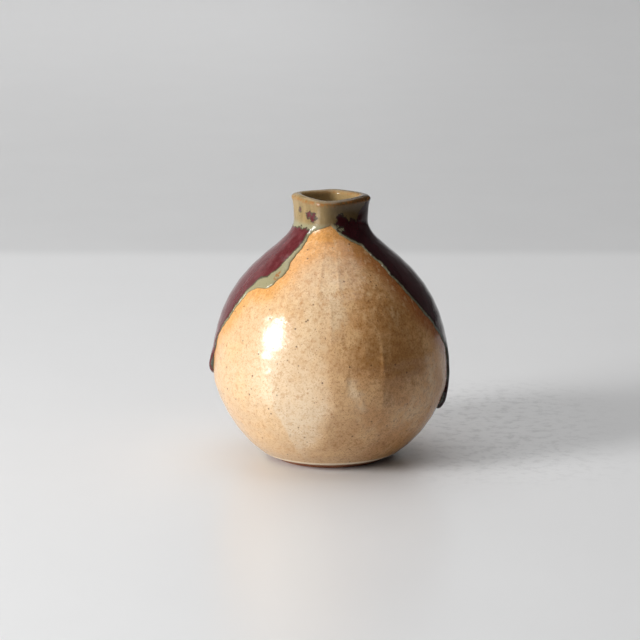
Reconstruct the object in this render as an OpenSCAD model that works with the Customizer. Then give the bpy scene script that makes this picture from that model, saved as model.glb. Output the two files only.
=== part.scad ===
// Ceramic bud vase: a thrown stoneware body with a pinched, nearly square mouth,
// wearing an oatmeal glaze coat, a liner inside and a copper-red glaze that was
// dipped over the neck and both shoulders and ran down the sides.
// Millimetres. The origin is the middle of the foot, on the surface it stands on,
// +Z is up and -Y is the front, where the oatmeal glaze shows between the pours.

/* [Body] */
// Height from the table to the highest point of the glazed lip, its left corner
total_height = 102.5; // [98:0.5:106]
// Radius of the clay at the belly, its widest place
belly_radius = 44.7; // [43:0.1:46]
// Height of the belly above the table
belly_height = 32.4; // [30:0.2:35]
// Thickness of the clay wall at the belly
wall = 4; // [3:0.1:5]
// Height of the clay floor inside
floor_height = 6.5; // [5.5:0.1:8]

/* [Neck] */
// Radius of the clay at the waist, the neck's narrowest place
waist_radius = 12.6; // [12:0.1:14]
// Height of the waist above the table
waist_height = 93.4; // [92:0.1:94]
// Radius of the clay at the outside of the lip
lip_radius = 13.3; // [12.8:0.1:14.5]
// Thickness of the clay wall at the neck and lip
neck_wall = 2.8; // [2.4:0.1:3.2]
// How far the four pinched corners stand out, as a share of the radius
pinch = 0.07; // [0:0.01:0.08]
// How far the front is pushed in, as a share of the radius
front_squeeze = 0.07; // [0:0.01:0.1]
// How much higher the sides of the lip stand than its front and back
side_rise = 0.5; // [0:0.1:1]
// How much higher the left corner stands than the right one
side_tilt = 0.2; // [0:0.1:0.5]
// How far the front corner of the lip dips
front_dip = 0.15; // [0:0.05:0.5]

/* [Foot] */
// Outer radius of the bare ring that touches the table
foot_radius = 21.8; // [20:0.1:22.5]
// Width of that ring
foot_ring_width = 5; // [4:0.5:7]
// Depth of the hollow trimmed out inside the ring
foot_hollow = 1.8; // [1:0.1:2.5]
// Radius of the clay where the outer glaze ends
glaze_line_radius = 23.9; // [23:0.1:25]
// Height of that glaze line
glaze_line_height = 1.35; // [1:0.05:2]

/* [Glaze] */
// Thickness of the oatmeal coat
oatmeal_coat = 0.4; // [0.3:0.05:0.6]
// Thickness of the copper-red pour on top of it
pour_coat = 0.6; // [0.4:0.05:0.8]
// Thickness of the neck coat inside the mouth, and of the liner below it
liner_coat = 0.4; // [0.3:0.05:0.5]
// How much thicker than the pour the bead at the end of a run is
run_bead = 0.9; // [0.4:0.1:1.2]

/* [Pours] */
// Height of the peak where the two pours meet, at the front and at the back
dip_peak = 92; // [90:0.5:92.5]
// Height at which each pour's edge reaches the side of the vase
dip_foot = 44; // [40:0.5:50]
// Height of the end of the left pour's run
left_run_end = 31.5; // [26:0.5:38]
// Height of the end of the right pour's run
right_run_end = 19.7; // [16:0.5:30]
// Half the width of a run
run_half_width = 4.2; // [3:0.1:6]

/* [Hidden] */

clay_colour = "#8a5a3c";
oatmeal_colour = "#d9b077";
liner_colour = "#a08a62";
neck_colour = "#8f8a68";
pour_colour = "#5a2430";

columns = 48;        // points round each ring
pour_columns = 16;   // points across each pour
pour_rows = 26;      // rows from the waist to the end of a run

flare = [0.9, 2.2];                 // Bezier handle that flares the neck outwards below the lip
lip_outside = 0.45 * flare;         // handles that turn the lip over to the inside
lip_inside = [0, 1.9];
pinch_start = 84;                   // the round body begins to turn square here
pinch_full = total_height - 1;      // and is fully square here
pinch_turn = 8;                     // how far the corners are turned from the axes
pinch_skew = 5;                     // and how unevenly they are spaced
corner_sharpness = 0.2;             // share of a second wave that straightens the four sides
squeeze_width = 50;                 // angles either side over which the front is pushed in
dip_width = 25;                     // and over which its corner dips
dip_reach = 43.7;                   // a pour's edge, seen from the front, starts this far out
dip_power = 1.6;                    // and bows by this power on its way to the peak
edge_round = 1.4;                   // width over which a pour's edge swells to full thickness
edge_coat = 0.15;                   // thickness of a pour at its very edge
bead_height = 7;                    // length of the bead at the end of a run

// Places on the path along the clay's section, described below
waist_place = 2;
lip_place = 3.5;
mouth_place = 4.7;    // where the neck coat ends inside and the liner begins

// Corners of the clay's section, as [radius, height]
glaze_line = [glaze_line_radius, glaze_line_height];
belly = [belly_radius, belly_height];
waist = [waist_radius, waist_height];
lip_height = total_height - (lip_outside[1] + lip_inside[1]) * 3 / 8 - neck_thickness(lip_place);
lip_outer = [lip_radius, lip_height];
lip_inner = [lip_radius - neck_wall, lip_height];
inner_waist = [waist_radius - neck_wall, waist_height];
inner_belly = [belly_radius - wall, belly_height + 0.5];
floor_edge = [12, floor_height];

// The clay's section as Bezier curves, one after another: each takes a whole number
// of the place s, which runs up the outside, over the lip and down the inside.
PATH = [
    [glaze_line, glaze_line + 15.2 * [cos(29), sin(29)], belly - [0, 7.3], belly],
    [belly, belly + [0, 44.3], waist - [0, 14.5], waist],
    [waist, waist + [0, 2.5], lip_outer - flare, lip_outer],
    [lip_outer, lip_outer + lip_outside, lip_inner + lip_inside, lip_inner],
    [lip_inner, lip_inner - [0, 2.5], inner_waist + [0, 2.5], inner_waist],
    [inner_waist, inner_waist - [0, 16.5], inner_belly + [0, 39.5], inner_belly],
    [inner_belly, inner_belly - [0, 15], floor_edge + [15, 0], floor_edge]
];
path_end = len(PATH);

// Places of the rings, shared by the clay and the coats so that their faces meet exactly
oatmeal_run = concat(places(0, 1, 8), places(1.06, waist_place, 15));
neck_run = concat(places(waist_place, 2.7, 2), places(3, 4, 6), places(4.35, mouth_place, 1));
liner_run = concat(places(mouth_place, 6, 12), places(6.14, path_end, 6));

function bezier(p, t) =
    (1 - t)^3 * p[0] + 3 * (1 - t)^2 * t * p[1] + 3 * (1 - t) * t^2 * p[2] + t^3 * p[3];
function bezier_slope(p, t) =
    (1 - t)^2 * (p[1] - p[0]) + 2 * (1 - t) * t * (p[2] - p[1]) + t^2 * (p[3] - p[2]);
function curve_at(s) = min(floor(s), path_end - 1);
function clay(s) = bezier(PATH[curve_at(s)], s - curve_at(s));
function out_of_clay(s) =
    let (slope = bezier_slope(PATH[curve_at(s)], s - curve_at(s)))
    [slope[1], -slope[0]] / norm(slope);

// Section point at place s, raised out of the clay by lift
function skin(s, lift) = clay(s) + lift * out_of_clay(s);

function clamp(x) = max(0, min(1, x));
function smooth(x) = let (c = clamp(x)) c * c * (3 - 2 * c);
function pinch_share(z) = smooth((z - pinch_start) / (pinch_full - pinch_start));
function from_front(angle) = (angle + 270) % 360 - 180;
function hump(x, width) = exp(-(x / width)^2);

// Four corners that stand out of the round, less the squeeze at the front
function pinched(angle) =
    let (turn = angle + pinch_turn - pinch_skew * cos(angle))
    pinch * (cos(4 * turn) + corner_sharpness * cos(8 * turn))
        - front_squeeze * hump(from_front(angle), squeeze_width);

// How far the lip lies below its highest point
function lowered(angle) =
    side_rise * sin(angle)^2 + side_tilt * (1 + cos(angle)) / 2
        + front_dip * hump(from_front(angle), dip_width);

// Turns a section point to an angle round the axis, with the neck pinched square
function turned(p, angle) =
    let (share = pinch_share(p[1]), r = p[0] * (1 + share * pinched(angle)))
    [r * cos(angle), r * sin(angle), p[1] - share * lowered(angle)];

function ring(p) = [for (i = [0 : columns - 1]) turned(p, 360 * i / columns)];
function places(from, to, rows) = [for (i = [0 : rows]) from + (to - from) * i / rows];
function reversed(list) = [for (i = [len(list) - 1 : -1 : 0]) list[i]];
function after_first(list) = [for (i = [1 : len(list) - 1]) list[i]];

// Solid through a list of rings of equal length: capped at both ends with flat
// discs, or closed from the last ring back to the first.
module ring_solid(rings, closed = false) {
    n = len(rings[0]);
    m = len(rings);
    sides = [
        for (i = [0 : closed ? m - 1 : m - 2], j = [0 : n - 1])
        let (a = i * n + j, b = i * n + (j + 1) % n)
        let (c = ((i + 1) % m) * n + j, d = ((i + 1) % m) * n + (j + 1) % n)
        each [[a, c, d], [a, d, b]]
    ];
    caps = closed ? [] : [[for (j = [0 : n - 1]) j], [for (j = [n - 1 : -1 : 0]) (m - 1) * n + j]];
    polyhedron([for (r = rings) each r], concat(sides, caps));
}

// Coat all the way round, along a run of places, with its thickness as a function of the place
module coat(run, thickness) {
    ring_solid(
        concat([for (s = run) ring(skin(s, thickness(s)))], [for (s = reversed(run)) ring(skin(s, 0))]),
        closed = true
    );
}

// Solid between two grids of points that face each other, with walls round their edges
module sheet_solid(outer, inner) {
    rows = len(outer);
    cols = len(outer[0]);
    back = rows * cols;
    border = concat(
        [for (j = [0 : cols - 1]) j],
        [for (i = [1 : rows - 1]) i * cols + cols - 1],
        [for (j = [cols - 2 : -1 : 0]) (rows - 1) * cols + j],
        [for (i = [rows - 2 : -1 : 1]) i * cols]
    );
    skins = [
        for (i = [0 : rows - 2], j = [0 : cols - 2])
        let (a = i * cols + j, b = a + 1, c = a + cols, d = c + 1)
        each [[a, c, d], [a, d, b], back * [1, 1, 1] + [a, d, c], back * [1, 1, 1] + [a, b, d]]
    ];
    walls = [
        for (k = [0 : len(border) - 1])
        let (a = border[k], b = border[(k + 1) % len(border)])
        each [[a, b, back + b], [a, back + b, back + a]]
    ];
    polyhedron(concat([for (r = outer) each r], [for (r = inner) each r]), concat(skins, walls));
}

// The copper-red glaze on the outside of the neck tapers to the liner's thickness inside
function neck_thickness(s) =
    let (outside = oatmeal_coat + pour_coat)
    let (inwards = smooth((s - waist_place) / (mouth_place - waist_place)))
    outside + (liner_coat - outside) * inwards;

// Half the angle that a pour covers at section point p: the dip line cuts straight
// across the vase as seen from the front, and the run carries on below it.
function dip_angle(p) =
    let (climb = clamp((p[1] - dip_foot) / (dip_peak - dip_foot)))
    p[1] <= dip_foot ? 0 : acos(clamp(dip_reach * (1 - climb^dip_power) / p[0]));
function run_angle(p, run_end) =
    let (up = clamp((p[1] - run_end) / run_half_width))
    max(0.12, sqrt(1 - (1 - up)^2)) * run_half_width / p[0] * 180 / PI;

// Thickness of a pour where the edge is this far away, with the bead at the run's end
function pour_thickness(from_edge, p, run_end) =
    let (swell = sqrt(1 - (1 - clamp(from_edge / edge_round))^2))
    let (bead = run_bead * (1 - smooth((p[1] - run_end) / bead_height)))
    edge_coat + (pour_coat - edge_coat + bead) * swell;

// Place on the belly curves at a given height, found by halving
function place_at(z, low = 0, high = 2, tries = 24) =
    let (mid = (low + high) / 2)
    tries == 0 ? mid
    : clay(mid)[1] < z ? place_at(z, mid, high, tries - 1)
    : place_at(z, low, mid, tries - 1);

// One pour, its middle at the given angle, from the waist to the end of its run
module pour(middle, run_end) {
    across = [for (j = [0 : pour_columns - 1]) sin(90 * (2 * j / (pour_columns - 1) - 1))];
    run = [for (i = [0 : pour_rows - 1]) let (t = 1 - i / (pour_rows - 1))
        place_at(run_end) + (waist_place - place_at(run_end)) * (1 - (1 - t)^1.3)];
    function spread(s) = max(dip_angle(clay(s)), run_angle(clay(s), run_end));
    function from_edge(s, u) =
        s >= waist_place ? edge_round : (1 - abs(u)) * spread(s) * PI / 180 * clay(s)[0];
    function lift(s, u) = oatmeal_coat + pour_thickness(from_edge(s, u), clay(s), run_end);
    sheet_solid(
        [for (s = run) [for (u = across) turned(skin(s, lift(s, u)), middle + u * spread(s))]],
        [for (s = run) [for (u = across) turned(skin(s, oatmeal_coat), middle + u * spread(s))]]
    );
}

// Thrown stoneware: foot ring, belly, neck and lip in one piece
module clay_body() {
    foot_inner = foot_radius - foot_ring_width;
    foot_rings = [[foot_inner - 1.5, foot_hollow], [foot_inner, 0], [foot_radius, 0]];
    section = concat(oatmeal_run, after_first(neck_run), after_first(liner_run));
    color(clay_colour)
    ring_solid([for (p = concat(foot_rings, [for (s = section) skin(s, 0)])) ring(p)]);
}

// Outer coat, from the glaze line at the foot to the waist
module oatmeal_glaze() {
    color(oatmeal_colour) coat(oatmeal_run, function (s) oatmeal_coat);
}

// Thick coat over the neck and lip, where both dips overlap, down into the mouth
module neck_glaze() {
    color(neck_colour) coat(neck_run, function (s) neck_thickness(s));
}

// Inside coat, from the mouth down and across the floor
module liner_glaze() {
    color(liner_colour)
    ring_solid(concat(
        [for (s = reversed(liner_run)) ring(skin(s, 0))],
        [for (s = liner_run) ring(skin(s, liner_coat))]
    ));
}

module left_pour() {
    color(pour_colour) pour(180, left_run_end);
}

module right_pour() {
    color(pour_colour) pour(0, right_run_end);
}

clay_body();
oatmeal_glaze();
liner_glaze();
neck_glaze();
left_pour();
right_pour();
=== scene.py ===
"""Looks of the ceramic bud vase: its clay, its coats of glaze and a plain studio round it.

Every piece is a closed surface along one path: the section of the clay, from the glaze
line at the foot up the outside, over the lip and down the inside to the floor. A place on
the path is a number that grows by one along each of its Bezier curves. A coat of glaze is
the same surface raised out of the clay. Shapes are in millimetres and meshes in metres,
angles are in radians from +X, and the front of the vase is -Y.
"""

import math

import bpy
import numpy as np
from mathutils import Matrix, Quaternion, Vector
from mathutils.kdtree import KDTree


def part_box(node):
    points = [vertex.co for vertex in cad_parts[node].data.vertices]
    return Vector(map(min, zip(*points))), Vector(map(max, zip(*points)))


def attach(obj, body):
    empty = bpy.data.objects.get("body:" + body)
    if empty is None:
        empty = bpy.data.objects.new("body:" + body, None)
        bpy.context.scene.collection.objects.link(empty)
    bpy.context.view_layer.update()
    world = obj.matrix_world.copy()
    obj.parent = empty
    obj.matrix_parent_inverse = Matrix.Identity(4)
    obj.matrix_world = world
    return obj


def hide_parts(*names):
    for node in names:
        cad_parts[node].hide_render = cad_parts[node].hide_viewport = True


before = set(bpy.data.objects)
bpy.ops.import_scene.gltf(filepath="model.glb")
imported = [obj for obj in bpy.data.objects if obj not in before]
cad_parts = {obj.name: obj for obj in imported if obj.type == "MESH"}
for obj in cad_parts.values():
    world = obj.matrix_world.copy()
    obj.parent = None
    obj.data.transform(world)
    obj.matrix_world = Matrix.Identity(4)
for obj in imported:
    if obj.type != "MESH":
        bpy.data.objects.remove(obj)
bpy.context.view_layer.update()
MM = 0.001


# Sizes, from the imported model's nodes

def box_mm(node):
    return tuple(np.array(corner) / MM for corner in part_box(node))


CLAY_LOW, CLAY_HIGH = box_mm("clay_body")
OATMEAL_LOW, OATMEAL_HIGH = box_mm("oatmeal_glaze")
LINER_LOW, LINER_HIGH = box_mm("liner_glaze")
LEFT_END = box_mm("left_pour")[0][2]
RIGHT_END = box_mm("right_pour")[0][2]

TOP = box_mm("neck_glaze")[1][2]
BELLY_RADIUS = (CLAY_HIGH[0] - CLAY_LOW[0]) / 2
OATMEAL = (OATMEAL_HIGH[1] - OATMEAL_LOW[1]) / 2 - BELLY_RADIUS
LINER = 0.4                   # thickness of the glaze inside, and of the neck coat where it ends
WALL = BELLY_RADIUS - (LINER_HIGH[0] - LINER_LOW[0]) / 2
FLOOR = LINER_LOW[2]
WAIST_HEIGHT = OATMEAL_HIGH[2]

# Sizes that no node's box shows
BELLY_HEIGHT = 32.4
WAIST_RADIUS = 12.6
LIP_RADIUS = 13.3
NECK_WALL = 2.8
GLAZE_LINE = (23.9, 1.35)     # radius and height where the outer glaze ends
FOOT_RADIUS = 21.8            # bare ring that touches the table
FOOT_RING_WIDTH = 5
FOOT_HOLLOW = 1.8
POUR = 0.6                    # thickness of the copper-red pours on top of the oatmeal coat

# The pinched mouth: its four corners stand out, the front is pushed in and its corner
# dips, and the lip is highest at the left corner
PINCH = 0.07
PINCH_START = 84
PINCH_FULL = TOP - 1
PINCH_TURN = math.radians(8)
PINCH_SKEW = math.radians(5)
CORNER_SHARPNESS = 0.2
FRONT_SQUEEZE = 0.07
SQUEEZE_WIDTH = math.radians(50)
SIDE_RISE = 0.5
SIDE_TILT = 0.2
FRONT_DIP = 0.15
DIP_WIDTH = math.radians(25)

# Places on the path
COAT_START = 0.026            # the outer glaze begins a little above the edge of the clay foot
WAIST = 2
LIP_OUTER, LIP, LIP_INNER = 3, 3.5, 4
MOUTH = 4.7                   # the neck coat ends here inside the mouth, and the liner begins
PATH_END = 7

FRONT = -math.pi / 2


def smooth(x):
    """Smooth step from 0 at x = 0 to 1 at x = 1."""
    x = np.clip(x, 0, 1)
    return x * x * (3 - 2 * x)


def neck_coat(place):
    """Thickness of the coat on the neck: it thins over the lip to the liner's thickness."""
    outside = OATMEAL + POUR
    return outside + (LINER - outside) * smooth((place - WAIST) / (MOUTH - WAIST))


def section_path():
    """Bezier curves of the clay's section, each four points of radius and height."""
    flare = np.array([0.9, 2.2])
    lip_outside, lip_inside = 0.45 * flare, np.array([0, 1.9])
    lip_rise = (lip_outside[1] + lip_inside[1]) * 3 / 8
    glaze_line = np.array(GLAZE_LINE)
    belly = np.array([BELLY_RADIUS, BELLY_HEIGHT])
    waist = np.array([WAIST_RADIUS, WAIST_HEIGHT])
    lip_outer = np.array([LIP_RADIUS, TOP - lip_rise - neck_coat(LIP)])
    lip_inner = lip_outer - (NECK_WALL, 0)
    inner_waist = waist - (NECK_WALL, 0)
    inner_belly = belly - (WALL, -0.5)
    floor_edge = np.array([12, FLOOR])
    foot_slope = math.radians(29)
    return np.array([
        [glaze_line, glaze_line + 15.2 * np.array([math.cos(foot_slope), math.sin(foot_slope)]),
         belly - (0, 7.3), belly],
        [belly, belly + (0, 44.3), waist - (0, 14.5), waist],
        [waist, waist + (0, 2.5), lip_outer - flare, lip_outer],
        [lip_outer, lip_outer + lip_outside, lip_inner + lip_inside, lip_inner],
        [lip_inner, lip_inner - (0, 2.5), inner_waist + (0, 2.5), inner_waist],
        [inner_waist, inner_waist - (0, 16.5), inner_belly + (0, 39.5), inner_belly],
        [inner_belly, inner_belly - (0, 15), floor_edge + (15, 0), floor_edge],
    ])


PATH = section_path()


def section(place):
    """Point (radius, height) of the clay's section at each place, and the way out of the clay."""
    place = np.asarray(place, float)
    curve = np.minimum(place.astype(int), len(PATH) - 1)
    t = (place - curve)[..., None]
    a, b, c, d = (PATH[curve, k] for k in range(4))
    point = (1 - t) ** 3 * a + 3 * (1 - t) ** 2 * t * b + 3 * (1 - t) * t ** 2 * c + t ** 3 * d
    slope = (1 - t) ** 2 * (b - a) + 2 * (1 - t) * t * (c - b) + t ** 2 * (d - c)
    slope = slope / np.linalg.norm(slope, axis=-1, keepdims=True)
    return point, np.stack([slope[..., 1], -slope[..., 0]], -1)


SAMPLED_PLACES = np.linspace(0, WAIST, 4000)
SAMPLED_HEIGHTS = section(SAMPLED_PLACES)[0][:, 1]


def place_at(height):
    """Place on the outside of the vase at each height."""
    return np.interp(height, SAMPLED_HEIGHTS, SAMPLED_PLACES)


def hump(x, middle, width):
    """Soft bump that is 1 at the middle and has almost gone two widths away."""
    return np.exp(-((x - middle) / width) ** 2)


def turn_from(angle, middle):
    """Angle from the middle direction, between minus and plus half a turn."""
    return (angle - middle + math.pi) % (2 * math.pi) - math.pi


def through(points, height):
    """Smooth curve through a list of (height, value), with no overshoot between them."""
    x, y = np.array(points, float).T
    step = np.diff(x)
    rise = np.diff(y) / step
    slope = np.zeros(len(x))
    same = rise[1:] * rise[:-1] > 0
    slope[1:-1][same] = 2 / (1 / rise[1:][same] + 1 / rise[:-1][same])
    slope[0], slope[-1] = rise[0], rise[-1]
    k = np.clip(np.searchsorted(x, height) - 1, 0, len(step) - 1)
    t = np.clip((height - x[k]) / step[k], 0, 1)
    return ((2 * t ** 3 - 3 * t ** 2 + 1) * y[k] + (t ** 3 - 2 * t ** 2 + t) * step[k] * slope[k]
            + (3 * t ** 2 - 2 * t ** 3) * y[k + 1] + (t ** 3 - t ** 2) * step[k] * slope[k + 1])


# The front was patted into three shallow facets. Each ridge between them is a list of
# heights with the angle there in degrees, and each facet has the heights where it fades in
# and out, and how flat it is from 0, still round, to 1.
RIDGES = [
    [(4, -109), (9, -110.5), (19, -114.7), (31, -119), (42, -122.3), (52, -126.3), (64, -130)],
    [(4, -107), (9, -104), (14, -97), (22, -92.4), (30, -89.3), (48, -90.4), (68, -92)],
    [(4, -63), (30, -64), (50, -62.6), (68, -62)],
    [(4, -34), (40, -31), (68, -33)],
]
FACETS = [(6, 14, 40, 54, 0.38), (8, 20, 34, 60, 0.34), (16, 30, 40, 60, 0.22)]
RIDGE_ROUND = 0.07            # how much of a ridge is worn off, in millimetres


def facet_edges(number, height):
    """Angles of the left and right ridges of a facet at each height, a little wavy."""
    return tuple(np.radians(through(RIDGES[k], height) + 0.7 * np.sin(height * 0.4 + 2 * k)
                            + 0.3 * np.sin(height * 1.1 + k)) for k in (number, number + 1))


def facets(height, angle):
    """How far the facets lie below the round, in millimetres."""
    depth = 0
    for number, (start, full, fading, end, flatness) in enumerate(FACETS):
        left, right = facet_edges(number, height)
        half = (right - left) / 2
        off = turn_from(angle, (left + right) / 2)
        chord = BELLY_RADIUS * flatness * (1 - np.cos(half) / np.cos(np.clip(off, -1, 1)))
        fade = smooth((height - start) / (full - start)) * smooth((end - height) / (end - fading))
        depth = depth + fade * RIDGE_ROUND * np.logaddexp(0, chord / RIDGE_ROUND)
    return depth


# Small lumps and scars in the front, each (angle in degrees, height, half width and half
# height in millimetres, how far it stands out)
LUMPS = [(-63.5, 46, 0.9, 4.5, 0.28), (-64.5, 32, 0.9, 2.6, 0.22), (-32, 54, 1.1, 1.3, 0.3),
         (-83, 40.5, 1.3, 1.0, 0.22), (-80.5, 38.5, 1.0, 1.2, -0.2), (-77, 35.5, 1.3, 1.1, 0.2),
         (-75, 31.5, 0.9, 1.6, 0.2), (-73, 50, 1.2, 1.5, 0.15), (-90, 60, 1.2, 7, 0.16),
         (-84, 74, 1.0, 6, 0.14), (-98, 76, 1.2, 7, 0.12), (-118, 66, 1.5, 4, 0.12)]


def lumps(height, angle):
    total = 0
    for degrees, middle, wide, tall, out in LUMPS:
        across = turn_from(angle, math.radians(degrees)) * BELLY_RADIUS
        total = total + out * hump(across, 0, wide) * hump(height, middle, tall)
    return total


def unevenness(height, angle):
    """How far the hand-made clay stands out of true outside, in millimetres."""
    wobble = 0.10 * np.cos(2 * angle + 0.6) + 0.06 * np.cos(3 * angle + height / 17)
    throwing = 0.035 * np.sin(height * 1.15 + 0.8 * np.sin(angle + 1))
    flat = -0.5 * hump(turn_from(angle, math.radians(-165)), 0, 0.5) * hump(height, 20, 11)
    fade = smooth((height - 2) / 8) * smooth((TOP - 5 - height) / 12)
    return (wobble + throwing + flat) * fade - facets(height, angle) + lumps(height, angle)


def skin(place, angle, lift):
    """Points of the surface raised by lift out of the clay, at each place and angle."""
    place, angle, lift = np.broadcast_arrays(place, angle, lift)
    point, out = section(place)
    lift = lift + smooth(3 - place) * unevenness(point[..., 1], angle)
    radius = point[..., 0] + lift * out[..., 0]
    height = point[..., 1] + lift * out[..., 1]
    share = smooth((height - PINCH_START) / (PINCH_FULL - PINCH_START))
    turn = angle + PINCH_TURN - PINCH_SKEW * np.cos(angle)
    off_front = turn_from(angle, FRONT)
    pinched = PINCH * (np.cos(4 * turn) + CORNER_SHARPNESS * np.cos(8 * turn))
    pinched = pinched - FRONT_SQUEEZE * hump(off_front, 0, SQUEEZE_WIDTH)
    lowered = SIDE_RISE * np.sin(angle) ** 2 + SIDE_TILT * (1 + np.cos(angle)) / 2
    lowered = lowered + FRONT_DIP * hump(off_front, 0, DIP_WIDTH)
    radius = radius * (1 + share * pinched)
    height = height - share * lowered
    return np.stack([radius * np.cos(angle), radius * np.sin(angle), height], -1)


# Outlines of the two pours. An edge is a list of heights with the angle in degrees from
# the side of the vase round to the edge there. A front edge is counted towards the front
# of the vase and a back edge towards its back. Both reach a quarter turn at the peak, where
# the pours meet under the neck.

PEAK = 92.9
LEFT_FRONT = [(32, 1), (36, 2), (41, 5), (45, 9), (48, 9), (52, 14), (58, 20.5), (63, 24),
              (67, 27.5), (69.3, 33), (70, 42), (73, 48), (76, 51.5), (79, 50), (82, 51.5),
              (86, 54), (89.6, 59), (91.4, 74), (PEAK, 90)]
LEFT_BACK = [(32, 9), (38, 9), (46, 12), (54, 21), (62, 27), (66, 34), (74, 40), (80, 47),
             (84, 51), (88, 64), (91, 76), (PEAK, 90)]
RIGHT_FRONT = [(20, 9), (24, 8.5), (30, 7), (38, 6), (42.5, 6), (47, 12), (52, 18.5), (55, 21.5),
               (59, 26.5), (62, 29.5), (66, 33), (70.5, 36.5), (74.5, 39), (78, 41), (81, 43.5),
               (83.8, 48), (85.6, 56), (88, 69), (90.2, 80), (PEAK, 90)]
RIGHT_BACK = [(20, 2), (30, 2), (38, 4), (44, 12), (52, 20), (58, 29), (68, 35), (76, 40), (82, 47),
              (85, 57), (89, 71), (PEAK, 90)]
TIP_ROUND = 4.0               # height over which a run rounds off to its tip
TIP_BLUNT = 0.001             # keeps the tip from closing to a point


def ragged(height, seed):
    """Small waves in an edge, in millimetres along the surface."""
    return (0.22 * np.sin(height * 0.9 + seed) + 0.14 * np.sin(height * 2.1 + 2.3 * seed)
            + 0.08 * np.sin(height * 4.7 + 4.1 * seed))


class Pour:
    """One copper-red pour: its side, its two edges, the end of its run and its thin band."""

    def __init__(self, side, front, back, end, band, seed):
        self.side = side                # +1 on the right, -1 on the left
        self.front, self.back = front, back
        self.end = end                  # height of the tip of the run
        self.band = band                # width of the grey-green band along the edges
        self.seed = seed                # sets the waves of the edges

    def edges(self, height):
        """Angles of the front and back edges at each height."""
        radius = section(place_at(height))[0][..., 0]
        waviness = smooth((PEAK - height) / 2) / radius
        front = np.radians(through(self.front, height)) + ragged(height, self.seed) * waviness
        back = np.radians(through(self.back, height)) + ragged(height, self.seed + 2) * waviness
        up = np.clip((height - self.end) / TIP_ROUND, 0, 1)
        narrowing = np.sqrt(1 - (1 - up) ** 2 * (1 - TIP_BLUNT))
        middle, half = (front - back) / 2, (front + back) / 2 * narrowing
        straight_out = 0 if self.side > 0 else math.pi
        return tuple(straight_out - self.side * (middle + reach) for reach in (half, -half))

    def edge_line(self):
        """Points along both edges, on the oatmeal coat, closest together at the tip."""
        height = self.end + (PEAK - self.end) * np.linspace(0, 1, 900) ** 1.3
        place = place_at(height)
        return np.concatenate([skin(place, angle, OATMEAL) for angle in self.edges(height)])


LEFT = Pour(-1, LEFT_FRONT, LEFT_BACK, LEFT_END, 0.8, 1.0)
RIGHT = Pour(1, RIGHT_FRONT, RIGHT_BACK, RIGHT_END, 0.65, 4.0)

edge_points = np.concatenate([LEFT.edge_line(), RIGHT.edge_line()])
EDGE_TREE = KDTree(len(edge_points))
for index, point in enumerate(edge_points):
    EDGE_TREE.insert(point, index)
EDGE_TREE.balance()


def from_edge(points):
    """Distance from each point to the nearest edge of a pour."""
    flat = points.reshape(-1, 3)
    return np.array([EDGE_TREE.find(p)[2] for p in flat]).reshape(points.shape[:-1])


EDGE_ROUND = 1.3              # width over which a pour swells from its edge
EDGE_LIP = 0.05               # thickness at its very edge
RUN_TOP = 50                  # height below which a pour thickens into its run
RUN_FADE = 12                 # and how much further down it is at its full thickness
RUN_EXTRA = 0.25              # how much thicker than the rest of the pour a run is
BEAD = 0.95                   # how much thicker again the bead near its tip is
BEAD_ABOVE_TIP = 4
BEAD_LENGTH = 4.5
BEDDED = 0.02                 # how far the underside of a pour lies inside the oatmeal coat


def swell(distance):
    """Share of a pour's full thickness at each distance from its edge."""
    return np.sqrt(1 - (1 - np.clip(distance / EDGE_ROUND, 0, 1)) ** 2)


# Meshes

FINE_COLUMNS = 480            # points round the outside of a coat
COARSE_COLUMNS = 120          # points round its hidden inside
PLAIN_COLUMNS = 240           # points round the clay and the liner
POUR_GRID = (300, 110)        # points down and across a pour


def grid_faces(rows, columns, wrapped=False):
    """Quads over a grid of points in rows, joined round if wrapped."""
    across = columns if wrapped else columns - 1
    row, column = np.meshgrid(np.arange(rows - 1), np.arange(across), indexing="ij")
    beside = (column + 1) % columns
    a, b = row * columns + column, row * columns + beside
    return np.stack([a, b, b + columns, a + columns], -1).reshape(-1, 4)


def make_piece(name, points, faces, material, node, slot, **values):
    """Object of a closed mesh that stands for a CAD node, with values stored at its points."""
    mesh = bpy.data.meshes.new(name)
    mesh.from_pydata((points * MM).tolist(), [], faces)
    for key, numbers in values.items():
        attribute = mesh.attributes.new(key, "FLOAT", "POINT")
        attribute.data.foreach_set("value", numbers.astype(np.float32))
    mesh.validate()
    mesh.shade_smooth()
    mesh.set_sharp_from_angle(angle=math.radians(50))
    mesh.materials.append(material)
    piece = bpy.data.objects.new(name, mesh)
    bpy.context.scene.collection.objects.link(piece)
    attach(piece, "root")
    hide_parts(node)


def around(columns):
    """Evenly spaced angles all the way round."""
    return np.arange(columns) * 2 * math.pi / columns


def coat_solid(outer, inner):
    """Points and faces of a closed coat: a fine outer grid and a coarser inner one, wrapped round.

    Both grids run along the path from the same place to the same place. The inner grid
    has a whole number of times fewer points in each row.
    """
    rows, columns = outer.shape[:2]
    inner_rows, inner_columns = inner.shape[:2]
    per = columns // inner_columns
    base = rows * columns
    faces = grid_faces(rows, columns, wrapped=True).tolist()
    faces += (base + grid_faces(inner_rows, inner_columns, wrapped=True)[:, ::-1]).tolist()
    for top in (False, True):
        outer_start = (rows - 1) * columns if top else 0
        inner_start = base + ((inner_rows - 1) * inner_columns if top else 0)
        for j in range(inner_columns):
            fine = [outer_start + (j * per + k) % columns for k in range(per + 1)]
            coarse = [inner_start + j, inner_start + (j + 1) % inner_columns]
            faces.append(fine + coarse[::-1] if top else fine[::-1] + coarse)
    return np.concatenate([outer.reshape(-1, 3), inner.reshape(-1, 3)]), faces


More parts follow.
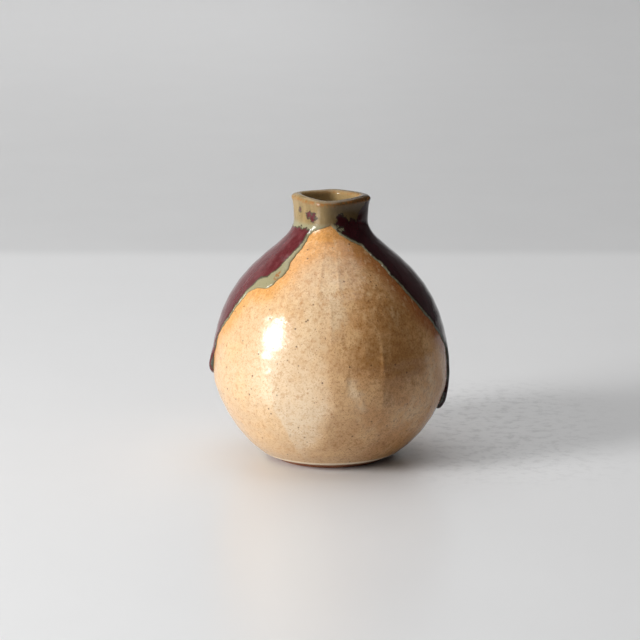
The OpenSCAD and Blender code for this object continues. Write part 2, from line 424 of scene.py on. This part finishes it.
def sheet_solid(outer, inner):
    """Points and faces of a closed sheet between two grids of the same size."""
    rows, columns = outer.shape[:2]
    base = rows * columns
    skin_faces = grid_faces(rows, columns)
    border = (list(range(columns)) + [i * columns + columns - 1 for i in range(1, rows)]
              + [(rows - 1) * columns + j for j in range(columns - 2, -1, -1)]
              + [i * columns for i in range(rows - 2, 0, -1)])
    walls = [[a, base + a, base + b, b] for a, b in zip(border, border[1:] + border[:1])]
    faces = skin_faces.tolist() + (base + skin_faces[:, ::-1]).tolist() + walls
    return np.concatenate([outer.reshape(-1, 3), inner.reshape(-1, 3)]), faces


def capped_solid(rings):
    """Points and faces of a closed solid of rings, with a flat cap at each end."""
    rows, columns = rings.shape[:2]
    faces = grid_faces(rows, columns, wrapped=True).tolist()
    faces.append(list(range(columns))[::-1])
    faces.append([(rows - 1) * columns + j for j in range(columns)])
    return rings.reshape(-1, 3), faces


def padded(values, count):
    """Values for the outer points, with zeros for the hidden inner ones."""
    return np.concatenate([values.reshape(-1), np.zeros(count - values.size)])


# Where the oatmeal glaze came out paler or browner, as patches of (angle in degrees,
# height, half width in degrees, half height, strength). The pale patch at -118 degrees and
# 52 mm is painted highlight, a paler glow round the window's reflection.
PALE_PATCHES = [(-124, 40, 16, 18, 0.9), (-88, 68, 8, 12, 1.0), (-102, 62, 8, 16, 0.7),
                (-118, 52, 8, 8, 0.8), (-108, 24, 12, 12, 0.5), (-97, 38, 8, 16, 0.4),
                (-80, 37, 3, 4, 0.8), (-76, 31, 4, 6, 0.5), (-45, 24, 14, 9, 0.5),
                (-32, 38, 6, 12, 0.6), (-70, 20, 10, 8, 0.3), (-150, 34, 14, 12, 0.3)]
BROWN_PATCHES = [(-49, 43, 15, 8, 1.0), (-72, 48, 9, 7, 0.7), (-62, 62, 16, 12, 0.6),
                 (-40, 60, 16, 12, 0.5), (-84, 58, 4, 10, 0.3), (-78, 79, 16, 6, 0.4),
                 (-57, 12, 14, 6, 0.5), (-86, 15, 6, 5, 0.4), (-62, 33, 5, 6, 0.5),
                 (70, 40, 30, 16, 0.6), (120, 60, 20, 16, 0.5), (160, 25, 18, 10, 0.4)]


def patches(points, spots):
    """Sum of soft patches at each point of the outside."""
    angle, height = np.arctan2(points[..., 1], points[..., 0]), points[..., 2]
    total = np.zeros(angle.shape)
    for degrees, middle, wide, tall, strength in spots:
        across = turn_from(angle, math.radians(degrees)) / math.radians(wide)
        total += strength * np.exp(-across ** 2 - ((height - middle) / tall) ** 2)
    return total


LEAF_CRISP = 0.7              # width of the leaf-shaped facet's border along its left ridge
LEAF_LOOSE = 7                # and along its right ridge
LEAF_TOP = 60                 # height where it has faded out
LEAF_PALEST = 22


def leaf(points):
    """How pale the leaf-shaped facet is."""
    angle, height = np.arctan2(points[..., 1], points[..., 0]), points[..., 2]
    left, right = facet_edges(0, height)
    radius = np.hypot(points[..., 0], points[..., 1])
    crisp = smooth(turn_from(angle, left) * radius / LEAF_CRISP + 0.5)
    loose = smooth(turn_from(right, angle) * radius / LEAF_LOOSE + 0.3)
    fading = smooth((LEAF_TOP - height) / 30)
    return crisp * loose * fading * (0.55 + 0.45 * hump(height, LEAF_PALEST, 12))


HALO_REACH = 20               # beyond this, how far off the pours are no longer counts
START_TILT = 0.012            # the coat's start moves up the path by twice this on the right
START_WIDTH = 2               # width over which the coat swells from its start
START_LIP = 0.02              # how far into the swelling it starts, so that its edge isn't sharp
ROLL = 0.12                   # how much thicker than the rest the coat is in the roll above
ROLL_MIDDLE = 2.2
ROLL_WIDTH = 1


def wavy_start(place, angle):
    """Places on the path, moved up near the foot so that the coat starts along a wavy line."""
    tilt = START_TILT * (1 + np.cos(angle))
    waves = 0.003 * np.sin(3 * angle + 1) + 0.0015 * np.sin(8 * angle)
    share = smooth(1 - (place - COAT_START) / 0.4)
    return place[:, None] + (tilt + waves)[None, :] * share[:, None]


def oatmeal_glaze(material):
    """The coat from just above the foot to the waist, with a thin start and a roll above it."""
    place = np.concatenate([np.linspace(COAT_START, 0.1, 14)[:-1], np.linspace(0.1, 1, 60)[:-1],
                            np.linspace(1, WAIST, 110)])
    angle = around(FINE_COLUMNS)
    places = wavy_start(place, angle)
    point = section(places)[0]
    along = np.linalg.norm(point - point[:1], axis=-1)
    rolled = OATMEAL + ROLL * hump(along, ROLL_MIDDLE, ROLL_WIDTH)
    share = np.clip((along + START_LIP) / START_WIDTH, 0, 1)
    outer = skin(places, angle[None, :], rolled * np.sqrt(1 - (1 - share) ** 2))
    inner_angle = around(COARSE_COLUMNS)
    inner_places = wavy_start(np.linspace(COAT_START, WAIST, 45), inner_angle)
    inner = skin(inner_places, inner_angle[None, :], 0)
    points, faces = coat_solid(outer, inner)
    halo = np.clip(from_edge(outer), 0, HALO_REACH)
    count = len(points)
    make_piece("oatmeal_coat", points, faces, material, "oatmeal_glaze", "oatmeal_glaze",
               halo_mm=padded(halo, count), rim_mm=padded(along, count),
               leaf=padded(leaf(outer), count), pale=padded(patches(outer, PALE_PATCHES), count),
               brown=padded(patches(outer, BROWN_PATCHES), count))


# Where the band along the left pour's front edge is wider, as (height, half length, extra width)
WIDE_BAND = [(74.5, 4.5, 4.2), (83, 4, 0.5)]


def band_width(pour, height, front):
    """Width of the grey-green band along a pour's edge, where the glaze is too thin to go red."""
    width = 0.1 + pour.band * smooth((height - pour.end - 8) / 34)
    width = width + 0.15 * np.sin(height * 0.7 + pour.seed)
    if pour is LEFT and front:
        for middle, reach, extra in WIDE_BAND:
            width = width + extra * hump(height, middle, reach)
    return width


# A rusty spot in the left pour's wide band, where the oatmeal glaze shows through
ISLET_ANGLE = math.radians(-134)
ISLET_HEIGHT = 74.4
ISLET_RADIUS = 33             # of the vase at that height
ISLET_WIDTH = 1.1
ISLET_LENGTH = 1.5


def pour_piece(name, pour, material, node):
    """One pour over the oatmeal coat, with its grid closest together along its edges and tip."""
    rows, columns = POUR_GRID
    place = place_at(pour.end) + (WAIST - place_at(pour.end)) * np.linspace(0, 1, rows) ** 1.25
    height = section(place)[0][:, 1]
    v = np.linspace(-1, 1, columns)
    across = (0.25 * v + 0.75 * np.sin(v * math.pi / 2) + 1) / 2
    front, back = pour.edges(np.minimum(height, PEAK))
    angle = front[:, None] + (back - front)[:, None] * across[None, :]
    flat = skin(place[:, None], angle, OATMEAL)
    distance = from_edge(flat)
    bead = BEAD * hump(height, pour.end + BEAD_ABOVE_TIP, BEAD_LENGTH)[:, None]
    run = RUN_EXTRA * smooth((RUN_TOP - height) / RUN_FADE)[:, None]
    lift = OATMEAL + EDGE_LIP + (POUR - EDGE_LIP + bead + run) * swell(distance)
    outer = skin(place[:, None], angle, lift)
    inner = skin(place[:, None], angle, OATMEAL - BEDDED)
    if pour.side > 0:
        outer, inner = outer[:, ::-1], inner[:, ::-1]
        distance, angle = distance[:, ::-1], angle[:, ::-1]
    points, faces = sheet_solid(outer[::-1], inner[::-1])
    distance, angle, height = distance[::-1], angle[::-1], height[::-1]
    is_front = np.sin(angle) < 0
    front_band, back_band = (band_width(pour, height, side)[:, None] for side in (True, False))
    band = np.where(is_front, front_band, back_band)
    # The change to red gets up to four times as sharp on the runs
    sharper = 1 + 3 * smooth((58 - height) / 12)[:, None]
    plum = np.minimum((distance - band) * sharper, plum_on_neck(outer[::-1]))
    away = np.hypot(turn_from(angle, ISLET_ANGLE) * ISLET_RADIUS / ISLET_WIDTH,
                    (height[:, None] - ISLET_HEIGHT) / ISLET_LENGTH)
    islet = smooth((1.3 - away) / 0.6)
    count = len(points)
    make_piece(name, points, faces, material, node, "copper_red_glaze",
               plum_mm=padded(plum, count), rust=padded(islet, count), inner=np.zeros(count))


# Where the red shows on the neck: below a line that rises on the right, and in spots, each
# (angle in degrees, height, radius)
RED_LINE = 90.4
RED_RISE = 11
RED_RISE_ANGLE = math.radians(-8)
NECK_SPOTS = [(-122, 95.2, 1.6), (-130, 96.0, 1.3), (-156, 97.2, 0.9), (-71, 93.8, 2.4),
              (-55, 91.6, 3.0), (60, 94, 3), (128, 95.5, 2)]


def plum_on_neck(points):
    """How far inside the red each point near the neck is, in millimetres."""
    x, y, height = points[..., 0], points[..., 1], points[..., 2]
    angle = np.arctan2(y, x)
    radius = np.hypot(x, y)
    rise = RED_RISE * hump(turn_from(angle, RED_RISE_ANGLE), 0, 0.5)
    depth = RED_LINE + 0.4 * np.sin(7 * angle) + rise - height
    for degrees, spot_height, size in NECK_SPOTS:
        away = np.hypot(turn_from(angle, math.radians(degrees)) * radius, height - spot_height)
        depth = np.maximum(depth, size - away)
    return depth


# Rust along the two edges of the lip, as (place on the path, width, strength)
LIP_RUST = [(3.12, 0.12, 0.65), (3.85, 0.1, 0.5)]
NO_RED = -9                   # a place well outside the red, beyond the lip's outer edge


def neck_glaze(material):
    """The coat over the neck and lip, thinned at its lower end where the oatmeal glaze shows."""
    place = np.concatenate([np.linspace(WAIST, LIP_OUTER, 36)[:-1],
                            np.linspace(LIP_OUTER, LIP_INNER, 30)[:-1],
                            np.linspace(LIP_INNER, MOUTH, 24)])
    angle = around(FINE_COLUMNS)
    flat = skin(place[:, None], angle[None, :], OATMEAL)
    distance = from_edge(flat)
    coat = neck_coat(place)[:, None]
    thin = smooth((2.6 - place) / 0.6)[:, None] * (1 - swell(distance)) * (POUR - EDGE_LIP)
    outer = skin(place[:, None], angle[None, :], coat - thin)
    inner = skin(np.linspace(WAIST, MOUTH, 36)[:, None], around(COARSE_COLUMNS)[None, :], 0)
    points, faces = coat_solid(outer, inner)
    count = len(points)
    plum = np.where(place[:, None] < LIP_OUTER, plum_on_neck(outer), NO_RED)
    rust = sum(strength * hump(place, middle, width) for middle, width, strength in LIP_RUST)
    inside = smooth((place - LIP) / (LIP_INNER - LIP))
    make_piece("neck_coat", points, faces, material, "neck_glaze", "copper_red_glaze",
               plum_mm=padded(plum, count), rust=padded(np.repeat(rust, angle.size), count),
               inner=padded(np.repeat(inside, angle.size), count))


def liner_glaze(material):
    """The coat inside, from where the neck coat ends down to the floor."""
    place = np.linspace(MOUTH, PATH_END, 90)[:, None]
    angle = around(PLAIN_COLUMNS)[None, :]
    rings = np.concatenate([skin(place[::-1], angle, 0), skin(place, angle, LINER)])
    points, faces = capped_solid(rings)
    make_piece("liner_coat", points, faces, material, "liner_glaze", "liner_glaze")


def clay_body(material):
    """The clay shell, from the hollow under the foot up the outside and down the inside."""
    angle = around(PLAIN_COLUMNS)
    inner = FOOT_RADIUS - FOOT_RING_WIDTH
    foot = [(2, FOOT_HOLLOW + 0.2), (8, FOOT_HOLLOW), (inner - 2.5, FOOT_HOLLOW),
            (inner - 1.6, FOOT_HOLLOW - 0.2), (inner - 0.5, 0.3), (inner - 0.1, 0.06),
            (inner + 0.3, 0), (FOOT_RADIUS - 0.3, 0), (FOOT_RADIUS, 0.06), (FOOT_RADIUS + 0.4, 0.3)]
    rings = [np.stack([radius * np.cos(angle), radius * np.sin(angle), 0 * angle + height], -1)
             for radius, height in foot]
    rings += list(skin(np.linspace(0, PATH_END, 190)[:, None], angle[None, :], 0))
    points, faces = capped_solid(np.array(rings))
    make_piece("stoneware_body", points, faces, material, "clay_body", "clay")


# Materials

def tint(code):
    """Linear colour of a hexadecimal screen colour."""
    parts = [int(code[k:k + 2], 16) / 255 for k in (0, 2, 4)]
    return tuple(p / 12.92 if p <= 0.04045 else ((p + 0.055) / 1.055) ** 2.4 for p in parts) + (1,)


class Graph:
    """Short calls that build the nodes of one material. Textures are laid out in millimetres."""

    def __init__(self, name, **shader):
        self.material = bpy.data.materials.new(name)
        self.material.use_nodes = True
        self.tree = self.material.node_tree
        self.tree.nodes.clear()
        self.shader = self.tree.nodes.new("ShaderNodeBsdfPrincipled")
        output = self.tree.nodes.new("ShaderNodeOutputMaterial")
        self.tree.links.new(self.shader.outputs[0], output.inputs["Surface"])
        for key, value in shader.items():
            self.shader.inputs[key.replace("_", " ")].default_value = value
        place = self.tree.nodes.new("ShaderNodeTexCoord").outputs["Object"]
        self.place = self.stretched(place, (1000, 1000, 1000))

    def set(self, socket, value):
        if isinstance(value, bpy.types.NodeSocket):
            self.tree.links.new(value, socket)
        else:
            socket.default_value = value

    def stretched(self, place, scale):
        node = self.tree.nodes.new("ShaderNodeVectorMath")
        node.operation = "MULTIPLY"
        self.set(node.inputs[0], place)
        node.inputs[1].default_value = scale
        return node.outputs[0]

    def value(self, name):
        node = self.tree.nodes.new("ShaderNodeAttribute")
        node.attribute_name = name
        return node.outputs["Fac"]

    def along(self, axis):
        """Position along X, Y or Z in millimetres."""
        node = self.tree.nodes.new("ShaderNodeSeparateXYZ")
        self.set(node.inputs[0], self.place)
        return node.outputs[axis]

    def noise(self, size, detail=2, roughness=0.5, place=None):
        """Soft noise about 0.5, with features of the given size in millimetres."""
        node = self.tree.nodes.new("ShaderNodeTexNoise")
        self.set(node.inputs["Vector"], place or self.place)
        node.inputs["Scale"].default_value = 1 / size
        node.inputs["Detail"].default_value = detail
        node.inputs["Roughness"].default_value = roughness
        return node.outputs["Fac"]

    def cells(self, size):
        """Distance to the nearest of many scattered points, and a random number for each."""
        node = self.tree.nodes.new("ShaderNodeTexVoronoi")
        self.set(node.inputs["Vector"], self.place)
        node.inputs["Scale"].default_value = 1 / size
        parts = self.tree.nodes.new("ShaderNodeSeparateColor")
        self.set(parts.inputs[0], node.outputs["Color"])
        return node.outputs["Distance"], parts.outputs[0]

    def math(self, operation, a, b):
        node = self.tree.nodes.new("ShaderNodeMath")
        node.operation = operation
        self.set(node.inputs[0], a)
        self.set(node.inputs[1], b)
        return node.outputs[0]

    def times(self, a, b):
        return self.math("MULTIPLY", a, b)

    def swing(self, noise, reach):
        """Noise moved to lie about 0, over the given reach."""
        return self.times(self.math("SUBTRACT", noise, 0.5), reach)

    def ramp(self, value, low, high):
        """0 at low to 1 at high, smoothly. The ends may be in either order."""
        node = self.tree.nodes.new("ShaderNodeMapRange")
        node.interpolation_type = "SMOOTHSTEP"
        self.set(node.inputs["Value"], value)
        if low < high:
            ends = (low, high, 0, 1)
        else:
            ends = (high, low, 1, 0)
        for key, end in zip(("From Min", "From Max", "To Min", "To Max"), ends):
            node.inputs[key].default_value = end
        return node.outputs[0]

    def part(self, value, low, high, most):
        """A ramp that goes from 0 to most."""
        return self.times(self.ramp(value, low, high), most)

    def mix(self, factor, a, b):
        node = self.tree.nodes.new("ShaderNodeMix")
        node.data_type = "RGBA"
        self.set(node.inputs[0], factor)
        self.set(node.inputs[6], a)
        self.set(node.inputs[7], b)
        return node.outputs[2]

    def spots(self, size, share, low, high):
        """Round spots on a share of the cells, full at the low distance and gone at the high."""
        distance, chance = self.cells(size)
        return self.times(self.ramp(distance, high, low), self.ramp(chance, share + 0.02, share))

    def bump(self, height, depth, normal=None):
        """Relief: height 0 to 1 stands for depth in millimetres."""
        node = self.tree.nodes.new("ShaderNodeBump")
        node.inputs["Strength"].default_value = 1
        node.inputs["Distance"].default_value = depth * MM
        self.set(node.inputs["Height"], height)
        if normal:
            self.set(node.inputs["Normal"], normal)
        return node.outputs[0]


def oatmeal_material():
    g = Graph("oatmeal glaze", IOR=1.52)
    cloud = g.noise(9, 3, 0.55)
    patch = g.noise(3, 4, 0.6)
    grain = g.noise(0.42, 2, 0.6)
    speckle = g.noise(0.75, 3, 0.65, g.stretched(g.place, (1.1, 1.1, 0.9)))
    # Browner towards the right: painted shade, the deeper tone of the side away from the window
    right = g.ramp(g.along("X"), -22, 26)
    colour = g.mix(right, tint("d2b28b"), tint("c28e58"))
    colour = g.mix(g.part(cloud, 0.40, 0.66, 0.45), colour, tint("dfb887"))
    # Pale and brown patches with mottled edges
    loose = g.swing(patch, 1.5)
    brown = g.math("ADD", g.value("brown"), g.times(loose, g.ramp(g.value("brown"), 0.0, 0.4)))
    colour = g.mix(g.part(brown, 0.1, 0.95, 0.75), colour, tint("966531"))
    pale = g.math("ADD", g.value("pale"), g.times(loose, g.ramp(g.value("pale"), 0.0, 0.4)))
    colour = g.mix(g.part(pale, 0.1, 0.95, 0.65), colour, tint("e0c8a6"))
    blotchy = g.math("ADD", g.times(cloud, 0.4), patch)
    pale_leaf = g.times(g.value("leaf"), g.ramp(blotchy, 0.2, 0.85))
    colour = g.mix(pale_leaf, colour, tint("dcc6a8"))
    # Orange beside the pours, where the two glazes mixed, deeper and browner to the right as
    # painted shade
    near = g.math("ADD", g.value("halo_mm"), g.swing(patch, 8))
    near = g.math("SUBTRACT", near, g.part(g.along("Z"), 74, 86, 5))
    orange = g.mix(g.ramp(g.along("X"), -8, 26), tint("d89c58"), tint("8c480e"))
    colour = g.mix(g.part(near, 10, 1, 0.95), colour, orange)
    # Streaks towards the neck
    streak = g.noise(2.4, 4, 0.65, g.stretched(g.place, (1, 1, 0.22)))
    streaked = g.ramp(g.along("Z"), 44, 72)
    colour = g.mix(g.times(g.part(streak, 0.5, 0.68, 0.45), streaked), colour, tint("b47c40"))
    colour = g.mix(g.times(g.part(streak, 0.48, 0.32, 0.35), streaked), colour, tint("e4c496"))
    # Fine light and dark grain, small rusty flecks and sparser iron spots; the grain's colours are
    # darker to the right, as painted shade
    mottle = g.part(g.noise(1.5, 3, 0.6), 0.48, 0.68, 0.4)
    colour = g.mix(mottle, colour, g.mix(right, tint("b07a40"), tint("8c5a28")))
    dark_share = g.math("SUBTRACT", 0.5, g.times(pale_leaf, 0.35))
    dark = g.times(g.ramp(speckle, 0.52, 0.70), dark_share)
    colour = g.mix(dark, colour, g.mix(right, tint("b07e4a"), tint("6c421c")))
    light = g.part(speckle, 0.46, 0.28, 0.3)
    colour = g.mix(light, colour, g.mix(right, tint("e6cca2"), tint("d4a870")))
    rusty = g.part(grain, 0.55, 0.72, 0.6)
    colour = g.mix(rusty, colour, g.mix(right, tint("b07c48"), tint("7c4a1e")))
    flecks = g.spots(1.1, 0.22, 0.10, 0.32)
    colour = g.mix(g.times(flecks, 0.5), colour, tint("7e4519"))
    iron = g.spots(3.4, 0.5, 0.04, 0.16)
    colour = g.mix(g.times(iron, 0.8), colour, tint("3d1f10"))
    # Pale roll of glaze at the foot, partly its own paler colour and partly painted highlight along
    # the bead that catches the light
    colour = g.mix(g.part(g.value("rim_mm"), 3.6, 2.6, 0.9), colour, tint("efdfc2"))
    g.set(g.shader.inputs["Base Color"], colour)
    g.set(g.shader.inputs["Roughness"], g.math("ADD", 0.13, g.times(grain, 0.14)))
    normal = g.bump(g.noise(5.0, 2, 0.5), 0.22)
    normal = g.bump(g.noise(1.7, 3, 0.6), 0.08, normal)
    normal = g.bump(speckle, 0.03, normal)
    g.set(g.shader.inputs["Normal"], normal)
    return g.material


def copper_red_material():
    g = Graph("copper red glaze", IOR=1.45, Specular_IOR_Level=0.38)
    drift = g.noise(3.0, 3, 0.6, g.stretched(g.place, (1, 1, 0.35)))
    grain = g.noise(0.45, 3, 0.6)
    fine = g.noise(0.9, 3, 0.6)
    height = g.along("Z")
    right = g.ramp(g.along("X"), -14, 11)
    # Olive where thin on the neck, grey-green along the edges of the pours, dark on the runs; the
    # olive and grey-green are darker to the right, as painted shade
    olive = g.mix(right, tint("9a835a"), tint("523f25"))
    deep_olive = g.mix(right, tint("7d6a42"), tint("43321a"))
    olive = g.mix(g.part(drift, 0.38, 0.66, 0.6), olive, deep_olive)
    olive = g.mix(g.times(g.value("inner"), 0.9), olive, tint("a88e62"))
    green = g.mix(right, tint("938c6c"), tint("6c6752"))
    celadon = g.mix(g.ramp(height, 93.6, 91.6), olive, green)
    celadon = g.mix(g.ramp(height, 62, 46), celadon, tint("4c534c"))
    celadon = g.mix(g.part(grain, 0.55, 0.72, 0.4), celadon, tint("5f4c28"))
    # Red where thick, mottled and streaked downwards; darker to the right, nearly black, as painted
    # shade
    red_shade_right = g.ramp(g.along("X"), -14, 8)
    red = g.mix(red_shade_right, tint("582124"), tint("290509"))
    lighter = g.mix(red_shade_right, tint("713a3d"), tint("3e1317"))
    red = g.mix(g.part(drift, 0.42, 0.68, 0.5), red, lighter)
    grainy = g.mix(red_shade_right, tint("825350"), tint("451d1c"))
    red = g.mix(g.part(grain, 0.56, 0.7, 0.3), red, grainy)
    # The border between them is ragged, most of all on the neck, and has a dark line, itself darker
    # to the right as painted shade
    reach = g.math("ADD", 1.2, g.part(height, 88, 93, 3.4))
    inside = g.math("ADD", g.value("plum_mm"), g.swing(g.noise(1.6, 3, 0.6), reach))
    inside = g.math("ADD", inside, g.swing(grain, 0.6))
    dark_line = g.mix(right, tint("4a4638"), tint("1f1a14"))
    colour = g.mix(g.ramp(inside, -0.6, 0.0), celadon, dark_line)
    colour = g.mix(g.ramp(inside, -0.1, 0.5), colour, red)
    rust = g.times(g.value("rust"), g.ramp(fine, 0.34, 0.66))
    colour = g.mix(rust, colour, tint("95561f"))
    iron = g.spots(1.5, 0.12, 0.08, 0.24)
    colour = g.mix(g.times(iron, 0.6), colour, tint("3a2413"))
    g.set(g.shader.inputs["Base Color"], colour)
    g.set(g.shader.inputs["Roughness"], g.math("ADD", 0.08, g.times(grain, 0.1)))
    normal = g.bump(g.noise(3.2, 2, 0.5), 0.16)
    normal = g.bump(grain, 0.008, normal)
    g.set(g.shader.inputs["Normal"], normal)
    return g.material


def liner_material():
    g = Graph("liner glaze", Roughness=0.2, IOR=1.5)
    cloud = g.noise(5, 3, 0.6)
    grain = g.noise(0.5, 3, 0.6)
    colour = g.mix(g.ramp(cloud, 0.35, 0.65), tint("9a7c4c"), tint("c29a5e"))
    colour = g.mix(g.part(grain, 0.55, 0.7, 0.5), colour, tint("5a4424"))
    g.set(g.shader.inputs["Base Color"], colour)
    g.set(g.shader.inputs["Normal"], g.bump(g.noise(1.8, 2, 0.5), 0.05))
    return g.material


def clay_material():
    g = Graph("bare stoneware")
    cloud = g.noise(6, 3, 0.6)
    grain = g.noise(0.35, 4, 0.7)
    colour = g.mix(g.ramp(cloud, 0.3, 0.7), tint("854a2b"), tint("a2663f"))
    colour = g.mix(g.part(grain, 0.52, 0.7, 0.5), colour, tint("48200f"))
    g.set(g.shader.inputs["Base Color"], colour)
    g.set(g.shader.inputs["Roughness"], g.math("ADD", 0.7, g.times(grain, 0.3)))
    g.set(g.shader.inputs["Normal"], g.bump(grain, 0.06))
    return g.material


clay_body(clay_material())
oatmeal_glaze(oatmeal_material())
liner_glaze(liner_material())
copper_red = copper_red_material()
neck_glaze(copper_red)
pour_piece("left_run", LEFT, copper_red, "left_pour")
pour_piece("right_run", RIGHT, copper_red, "right_pour")


# Studio: a pale table that goes on into a grey floor and turns up into a wall far away all
# round, with a window on the left and a soft ceiling

TABLE_END = (372, 402)        # where the table gives way to the floor behind it, in millimetres
FLOOR_RADIUS = 2.3            # this and the next two in metres
BEND_RADIUS = 0.4
WALL_HEIGHT = 1.5
STUDIO_COLUMNS = 96


def stage_material():
    g = Graph("pale studio", Roughness=0.3, IOR=1.45)
    # The table, then the floor behind it, then the wall, a little greyer to the right
    wall = g.mix(g.ramp(g.along("X"), -100, 250), tint("f0f0f0"), tint("dcdcdc"))
    back = g.mix(g.ramp(g.along("Y"), 400, 1600), tint("cccccc"), wall)
    colour = g.mix(g.ramp(g.along("Y"), TABLE_END[0], TABLE_END[1]), tint("dcdcdc"), back)
    # The right side of the room is dark, out of the camera's view: painted shade, standing for an
    # unlit side of the room
    colour = g.mix(g.ramp(g.along("X"), 420, 1300), colour, tint("585858"))
    colour = g.mix(g.times(g.noise(60, 3, 0.5), 0.1), colour, tint("ffffff"))
    # The table is a little mottled to the right of the vase, where its shadow falls: painted shadow
    # mottling
    beside = g.times(g.ramp(g.along("X"), 10, 50), g.ramp(g.along("X"), 130, 70))
    beside = g.times(beside, g.times(g.ramp(g.along("Y"), -60, 0), g.ramp(g.along("Y"), 130, 70)))
    painted_shadow_mottle = g.times(g.part(g.noise(5, 4, 0.7), 0.46, 0.66, 0.32), beside)
    g.set(g.shader.inputs["Base Color"], g.mix(painted_shadow_mottle, colour, tint("8c8c8c")))
    return g.material


def studio():
    """Floor and wall in one round sheet, with a soft turn between them."""
    turn = np.linspace(0, math.pi / 2, 16)[1:]
    profile = [(r, 0.0) for r in (0.02, 0.3, 0.8, 1.5, FLOOR_RADIUS)]
    profile += [(FLOOR_RADIUS + BEND_RADIUS * math.sin(a), BEND_RADIUS * (1 - math.cos(a)))
                for a in turn]
    profile += [(FLOOR_RADIUS + BEND_RADIUS, WALL_HEIGHT)]
    points = [(r * math.cos(a), r * math.sin(a), z)
              for r, z in profile for a in around(STUDIO_COLUMNS)]
    faces = [list(range(STUDIO_COLUMNS))]
    faces += grid_faces(len(profile), STUDIO_COLUMNS, wrapped=True).tolist()
    mesh = bpy.data.meshes.new("table_and_wall")
    mesh.from_pydata(points, [], faces)
    mesh.shade_smooth()
    mesh.materials.append(stage_material())
    sheet = bpy.data.objects.new("table_and_wall", mesh)
    bpy.context.scene.collection.objects.link(sheet)


def lamp(name, place, target, size, power, roll=0):
    """Rectangular light that faces its target. The roll turns it about its own direction."""
    data = bpy.data.lights.new(name, "AREA")
    data.shape = "RECTANGLE"
    data.size, data.size_y = size
    data.energy = power
    light = bpy.data.objects.new(name, data)
    light.location = place
    aim = (Vector(target) - Vector(place)).to_track_quat("-Z", "Y")
    light.rotation_euler = (aim @ Quaternion((0, 0, 1), roll)).to_euler()
    bpy.context.scene.collection.objects.link(light)


# The camera stands in front of the vase and a little above it, in metres from the point it faces
CAMERA_AIM = Vector((-0.00404, 0, 0.053))
CAMERA_DISTANCE = 1.05
CAMERA_ELEVATION = math.radians(13)
LENS = 153.3                  # focal length in millimetres, over a sensor 36 mm wide


def camera():
    data = bpy.data.cameras.new("camera")
    data.sensor_width = 36
    data.lens = LENS
    view = bpy.data.objects.new("camera", data)
    back = Vector((0, -math.cos(CAMERA_ELEVATION), math.sin(CAMERA_ELEVATION)))
    view.location = CAMERA_AIM + CAMERA_DISTANCE * back
    view.rotation_euler = (math.pi / 2 - CAMERA_ELEVATION, 0, 0)
    bpy.context.scene.collection.objects.link(view)
    bpy.context.scene.camera = view


def surroundings(strength):
    world = bpy.data.worlds.new("soft room light")
    world.use_nodes = True
    background = world.node_tree.nodes["Background"]
    background.inputs["Color"].default_value = (0.95, 0.97, 1.0, 1)
    background.inputs["Strength"].default_value = strength
    bpy.context.scene.world = world


studio()
camera()

# Room light, the window on the left and the soft ceiling, in metres and watts
surroundings(strength=0.08)
lamp("window", place=(-1.05, -0.56, 0.44), target=(0, 0, 0.06), size=(0.38, 0.6), power=19.5,
     roll=math.radians(20))
lamp("ceiling", place=(-0.3, 0.8, 1.9), target=(-0.3, 0.8, 0), size=(2.4, 3.0), power=32.5)
bpy.context.scene.view_settings.view_transform = "Standard"
